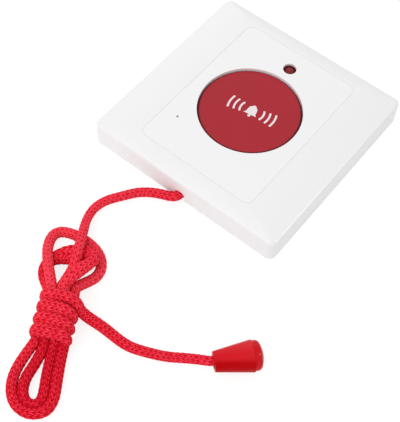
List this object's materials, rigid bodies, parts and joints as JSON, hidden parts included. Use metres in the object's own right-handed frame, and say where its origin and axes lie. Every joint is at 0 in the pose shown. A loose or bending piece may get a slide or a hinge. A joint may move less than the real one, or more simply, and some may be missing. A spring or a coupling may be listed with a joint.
{
  "type": "emergency call button",
  "caption": "Square surface-mounted call unit with a large round push button, an indicator light and a pull cord that ends in a tapered handle.",
  "frame": {"origin": "centre of the square back, which lies on the surface or against the wall", "axes": "+Z out of the face, +Y towards the indicator light; the cord leaves on the -Y side"},
  "size_m": [0.1092, 0.1866, 0.0121],
  "materials": {
    "white_plastic": "satin moulded plastic, faint fine grain",
    "black_plastic": "matt moulded plastic",
    "board": "green solder mask",
    "button_red": "satin red plastic",
    "indicator_red": "clear-coated red lens",
    "handle_red": "glossy red plastic",
    "cord_red": "knitted textile cord",
    "steel": "plain spring steel",
    "tin": "tinned metal",
    "brass": "plain brass",
    "magnet": "plated magnet",
    "clear_glass": "clear glass tube"
  },
  "bodies": {
    "housing": {"front_frame": "white_plastic", "face_panel": "white_plastic", "back_plate": "white_plastic", "button_spring": "steel", "call_switch": "black_plastic", "switch_pins": "tin", "circuit_board": "board", "board_screws": "steel", "indicator_led": "indicator_red", "led_leads": "tin", "buzzer": "black_plastic", "battery_holder": "black_plastic", "coin_cell": "tin", "battery_clip": "steel", "radio_module": "tin", "aerial": "tin", "control_chip": "black_plastic", "reed_switch": "clear_glass", "reed_leads": "tin", "slider_spring_left": "steel", "slider_spring_right": "steel"},
    "button": {"call_button": "button_red", "switch_plunger": "black_plastic"},
    "pull": {"cord_slider": "white_plastic", "slider_magnet": "magnet", "cord_ferrule": "brass", "cord_inner": "cord_red", "cord_lead": "cord_red", "cord_hank": "cord_red", "cord_tail": "cord_red", "pull_handle": "handle_red", "handle_plug": "handle_red", "handle_knot": "cord_red"}
  },
  "joints": [
    {"name": "button_press", "type": "slide", "parent": "housing", "child": "button", "axis": [0, 0, -1], "range_m": [0, 0.0012], "stiffness_N_per_m": 400, "springref_m": -0.003, "deforming": ["button_spring"]},
    {"name": "cord_pull", "type": "slide", "parent": "housing", "child": "pull", "axis": [0, -1, 0], "range_m": [0, 0.003], "stiffness_N_per_m": 500, "springref_m": -0.002, "deforming": ["slider_spring_left", "slider_spring_right"]}
  ]
}
